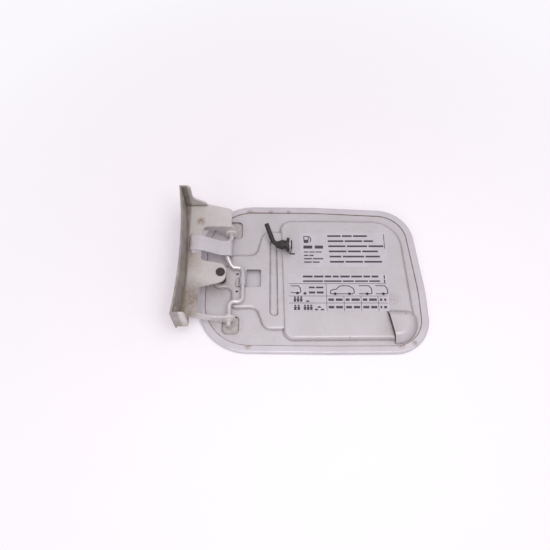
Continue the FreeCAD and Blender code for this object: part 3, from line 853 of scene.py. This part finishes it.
@dataclass
class PressurePrint(LabelPrint):
    """Pressure label: two heading lines over a ruled table of plain cars, figures and bars."""

    name: str = "pressure_print"
    seed: int = 23
    headings: tuple[Words, ...] = ((-0.6, 63.2, -1.7, 1.8, 8), (-0.6, 64.4, -6.0, 1.4, 5))
    table_left: float = -12.6
    table_right: float = 69.6
    table_low: float = -33.0
    rules: tuple[float, ...] = (-8.3, -19.6, -25.9)
    columns: tuple[float, ...] = (18.75, 33.2, 47.4, 61.6)
    rule_width: float = 0.4
    cars: tuple[tuple[CarView, float, float], ...] = (
        (CarView.WHOLE, 22.0, 20.0),
        (CarView.REAR, 46.4, 10.4),
        (CarView.REAR, 60.4, 9.6),
    )
    car_low: float = -17.6
    car_height: float = 7.4
    wheel_radius: float = 1.25
    corner_lines: tuple[Flat, ...] = (
        ((-10.6, -10.4), (-4.6, -10.4), (-3.0, -12.4), (-2.6, -16.0)),
        ((-10.6, -16.6), (-3.4, -16.6)),
    )
    corner_dots: Flat = ((-5.4, -17.0), (0.8, -17.2))
    corner_radius: float = 1.3
    units: tuple[Words, ...] = ((4.2, 16.4, -11.8, 1.5, 2), (4.2, 16.4, -16.4, 1.9, 2))
    loads: tuple[tuple[tuple[float, ...], float, Flat], ...] = (
        ((-7.6, -5.0, -2.4), -24.8, ((3.0, -24.9),)),
        ((-7.4, -4.6, 0.6, 3.2, 5.8), -32.2, ((10.0, -32.4), (12.4, -30.2), (15.0, -32.4))),
    )
    head_height: float = 4.0
    head_radius: float = 0.85
    torso: Flat = ((-0.9, 0.0), (0.9, 0.0), (1.15, 3.0), (-1.15, 3.0))
    bag_radius: float = 1.5
    rows: tuple[float, ...] = (-22.9, -29.6)
    cell_before: float = 1.4
    cell_after: float = 1.2
    cell_height: float = 2.2
    cell_words: int = 2
    edge_bars: tuple[Span, ...] = ((67.7, -7.6, 68.7, -4.6), (67.7, -3.8, 68.7, -0.4))

    def car(self, view: CarView, left: float, width: float) -> None:
        """Add a line drawing of a car's side: roof line, sill and wheels.

        Args:
            view: the whole car or its rear half.
            left: where it starts.
            width: how long it is.
        """
        for line in (CAR_ROOFS[view], CAR_SILLS[view]):
            self.stroke(np.array(line) * (width, self.car_height) + (left, self.car_low))
        wheels = [(left + share * width, self.car_low) for share in CAR_WHEELS[view]]
        self.rounds(wheels, self.wheel_radius)

    def figures(self, feet: tuple[float, ...], y: float) -> None:
        """Add plain figures: a round head over a body that widens upwards.

        Args:
            feet: where each stands across.
            y: the line they stand on.
        """
        self.rounds([(x, y + self.head_height) for x in feet], self.head_radius)
        places = np.array([(x, y) for x in feet])
        self.groups.append(places[:, None, :] + np.array(self.torso)[None, :, :])

    def table(self) -> None:
        """Rule the table: lines across its whole width, and columns below their own top line."""
        half = self.rule_width / 2
        self.bars([(self.table_left, y - half, self.table_right, y + half) for y in self.rules])
        tops = (self.rules[0],) + (self.rules[1],) * (len(self.columns) - 1)
        self.bars([(x - half, self.table_low, x + half, top) for x, top in zip(self.columns, tops)])

    def cells(self) -> None:
        """Fill every cell of both rows with a short line of bars."""
        ends = (*self.columns[1:], self.table_right)
        for y in self.rows:
            for left, right in zip(self.columns, ends):
                start = left + self.cell_before
                end = right - self.cell_after
                self.word_line(start, end, y, self.cell_height, self.cell_words)

    def lay_out(self) -> None:
        """Place every shape of the label."""
        for heading in self.headings:
            self.word_line(*heading)
        self.table()
        for view, left, width in self.cars:
            self.car(view, left, width)
        for line in self.corner_lines:
            self.stroke(line)
        self.rounds(self.corner_dots, self.corner_radius)
        for unit in self.units:
            self.word_line(*unit)
        for feet, y, bags in self.loads:
            self.figures(feet, y)
            self.rounds(bags, self.bag_radius, math.pi)
        self.cells()
        self.bars(self.edge_bars)


@dataclass
class HemBead:
    """Bead of seam sealer along the hem's inner edge: a lumpy round profile carried along a path."""

    name: str = "hem_sealer"
    inset: float = 6.15
    level: float = 3.8
    radius: float = 0.42
    swell: float = 0.22
    swell_rates: tuple[float, float] = (1.7, 0.37)
    sides: int = 8
    per_corner: int = 26
    corners: tuple[Place, ...] = (
        (-88.8, -67.4, 43.0),
        (20.0, -68.7, 300.0),
        (103.35, -68.3, 30.0),
        (102.6, -14.0, 150.0),
        (94.2, 63.8, 32.0),
        (10.0, 68.2, 200.0),
        (-88.8, 69.2, 46.0),
    )

    def path(self) -> tuple[np.ndarray, np.ndarray]:
        """Work out the inset outline: arcs about each rounded corner's centre, joined by straight runs.

        Returns:
            Points on the path and their outward directions, each as rows of x and y.
        """
        table = np.array(self.corners)
        tips = table[:, :2]
        radius = table[:, 2]
        before = np.roll(tips, 1, axis=0) - tips
        after = np.roll(tips, -1, axis=0) - tips
        before /= np.linalg.norm(before, axis=1, keepdims=True)
        after /= np.linalg.norm(after, axis=1, keepdims=True)
        inward = before + after
        inward /= np.linalg.norm(inward, axis=1, keepdims=True)
        half = np.arccos(np.clip((before * after).sum(axis=1), -1.0, 1.0)) / 2.0
        centre = tips + inward * (radius / np.sin(half))[:, None]
        middle = np.arctan2(-inward[:, 1], -inward[:, 0])
        spread = np.pi / 2.0 - half
        turn = middle[:, None] + spread[:, None] * np.linspace(-1.0, 1.0, self.per_corner)[None, :]
        outward = np.stack([np.cos(turn), np.sin(turn)], axis=2)
        ring = centre[:, None, :] + outward * (radius - self.inset)[:, None, None]
        return ring.reshape(-1, 2), outward.reshape(-1, 2)

    def build(self, material: bpy.types.Material) -> bpy.types.Object:
        """Make the bead: a circle round each path point, swollen by the product of two waves.

        Args:
            material: the sealer.

        Returns:
            The new piece.
        """
        ring, outward = self.path()
        count = np.arange(len(ring))
        quick, slow = self.swell_rates
        wave = np.sin(quick * count) * np.sin(slow * count)
        radius = self.radius * (1.0 + self.swell * wave)[:, None]
        turn = np.linspace(0.0, FULL_TURN, self.sides, endpoint=False)
        across = ring[:, None, :] + outward[:, None, :] * (radius * np.cos(turn))[:, :, None]
        level = self.level + radius * np.sin(turn)
        points = np.concatenate([across, level[:, :, None]], axis=2).reshape(-1, 3)
        row = count[:, None] * self.sides
        following = np.roll(row, -1, axis=0)
        column = np.arange(self.sides)[None, :]
        beside = (column + 1) % self.sides
        quads = np.stack([row + column, following + column, following + beside, row + beside], axis=2)
        faces = quads.reshape(-1, 4).tolist()
        piece = add_piece(self.name, points, faces, material)
        piece.data.polygons.foreach_set("use_smooth", np.ones(len(faces), dtype=bool))
        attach(piece, Body.FLAP.value)
        return piece


@dataclass
class SubAssembly:
    """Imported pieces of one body: the finish of each, and how far its sharp edges are softened."""

    finishes: Finishes = ()
    soft_edges: tuple[tuple[str, float], ...] = ()
    weld_reach: float = 0.001
    edge_angle: float = 50.0
    edge_segments: int = 2

    def soften(self, node: bpy.types.Object, width: float) -> None:
        """Join a piece's loose triangles and round its sharp edges.

        Args:
            node: the piece.
            width: width of the rounding.
        """
        weld = node.modifiers.new("joined", "WELD")
        weld.merge_threshold = self.weld_reach * MM
        bevel = node.modifiers.new("soft_edges", "BEVEL")
        bevel.width = width * MM
        bevel.segments = self.edge_segments
        bevel.limit_method = "ANGLE"
        bevel.angle_limit = math.radians(self.edge_angle)

    def dress(self, nodes: dict[str, bpy.types.Object]) -> None:
        """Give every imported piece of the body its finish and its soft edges.

        Args:
            nodes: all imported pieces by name.
        """
        for finish, names in self.finishes:
            material = finish.material()
            for name in names:
                for slot in nodes[name].material_slots:
                    slot.material = material
                LOG.info("%s: %s", name, finish.name)
        for name, width in self.soft_edges:
            self.soften(nodes[name], width)


@dataclass
class Flap(SubAssembly):
    """Skin, panel, wire, plug and label films, with the print and the sealer bead on them."""

    finishes: Finishes = (
        (SKIN_LACQUER, ("outer_skin",)),
        (PANEL_LACQUER, ("inner_panel",)),
        (WIRE_LACQUER, ("hinge_wire",)),
        (CLEAN_RUBBER, ("tether_plug",)),
        (VINYL_FILM, ("fuel_label", "pressure_label")),
    )
    fuel: FuelPrint = field(default_factory=FuelPrint)
    pressure: PressurePrint = field(default_factory=PressurePrint)
    bead: HemBead = field(default_factory=HemBead)

    def build(self) -> None:
        """Print both labels and lay the bead."""
        ink = SCREEN_INK.material()
        for label in (self.fuel, self.pressure):
            label.lay_out()
            label.build(ink)
        self.bead.build(SEAM_SEALER.material())


@dataclass
class Bracket(SubAssembly):
    """Folded bracket with its bushes and its buffer."""

    finishes: Finishes = (
        (BRACKET_LACQUER, ("hinge_bracket",)),
        (ACETAL, ("upper_bush", "lower_bush")),
        (DUSTY_RUBBER, ("stop_buffer",)),
    )
    soft_edges: tuple[tuple[str, float], ...] = (("hinge_bracket", 0.45), ("stop_buffer", 0.5))


@dataclass
class Leaf(SubAssembly):
    """Spring strip between the bracket and the wire."""

    finishes: Finishes = ((LEAF_LACQUER, ("leaf_spring",)),)


@dataclass(frozen=True)
class Lamp:
    """Square lamp that faces the origin, with its place and side in metres and its power in watts."""

    name: str
    place: Place
    size: float
    power: float
    colour: str

    def hang(self) -> None:
        """Add the lamp to the scene: tilted from straight down, and turned about the upright."""
        data = bpy.data.lights.new(self.name, "AREA")
        data.size = self.size
        data.energy = self.power
        data.color = linear(self.colour)[:3]
        lamp = bpy.data.objects.new(self.name, data)
        lamp.location = self.place
        x, y, z = self.place
        lamp.rotation_euler = (math.atan2(math.hypot(x, y), z), 0.0, math.atan2(x, -y))
        bpy.context.scene.collection.objects.link(lamp)


@dataclass
class Studio:
    """White board, soft lamps, pale surroundings, and a camera where the photograph was taken from."""

    board_reach: float = 6000.0
    lamps: tuple[Lamp, ...] = (
        Lamp("key_lamp", (0.1, -0.25, 0.95), 0.7, 5.2, "#fffbf8"),
        Lamp("fill_lamp", (-0.35, -1.15, 0.5), 0.55, 2.0, "#f8f6ff"),
    )
    sky_colour: str = "#fbf8fd"
    sky_strength: float = 0.57
    seen_strength: float = 1.0
    frame_px: float = 550.0
    focal_px: float = 600.0
    sensor: float = 36.0
    elevation: float = 65.0
    distance: float = 516.0
    target: Place = (-24.2, 3.0, 0.0)

    def board(self) -> None:
        """Lay a wide white board under the part."""
        corners = np.array([(-1.0, -1.0, 0.0), (1.0, -1.0, 0.0), (1.0, 1.0, 0.0), (-1.0, 1.0, 0.0)])
        points = corners * self.board_reach
        add_piece("white_board", points, [(0, 1, 2, 3)], PaperBoard().material())

    def sky(self) -> None:
        """Surround the part with soft light that is white where it is seen."""
        world = bpy.data.worlds.new("pale_surroundings")
        world.use_nodes = True
        tree = world.node_tree
        tree.nodes.clear()
        strength = add_node(
            tree,
            "ShaderNodeMapRange",
            {"Value": seen_rays(tree), "To Min": self.sky_strength, "To Max": self.seen_strength},
        )
        glow = add_node(
            tree, "ShaderNodeBackground", {"Color": linear(self.sky_colour), "Strength": strength}
        )
        add_node(tree, "ShaderNodeOutputWorld", {"Surface": glow})
        bpy.context.scene.world = world

    def camera(self) -> None:
        """Set the camera at the photograph's distance, elevation and field of view."""
        data = bpy.data.cameras.new("photo_camera")
        data.sensor_width = self.sensor
        data.lens = self.sensor * self.focal_px / self.frame_px
        camera = bpy.data.objects.new("photo_camera", data)
        angle = math.radians(self.elevation)
        away = np.array([0.0, -math.cos(angle), math.sin(angle)]) * self.distance
        camera.location = (np.array(self.target) + away) * MM
        camera.rotation_euler = (math.pi / 2.0 - angle, 0.0, 0.0)
        bpy.context.scene.collection.objects.link(camera)
        bpy.context.scene.camera = camera

    def build(self) -> None:
        """Set the whole stage."""
        self.board()
        for lamp in self.lamps:
            lamp.hang()
        self.sky()
        self.camera()
        bpy.context.scene.view_settings.view_transform = "Standard"


def main() -> None:
    """Load the frame, dress it, add the print and the bead, and set the stage."""
    logging.basicConfig(level=logging.INFO)
    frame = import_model()
    flap = Flap()
    for body in (flap, Bracket(), Leaf()):
        body.dress(frame["nodes"])
    flap.build()
    Studio().build()


if __name__ == "__main__":
    main()
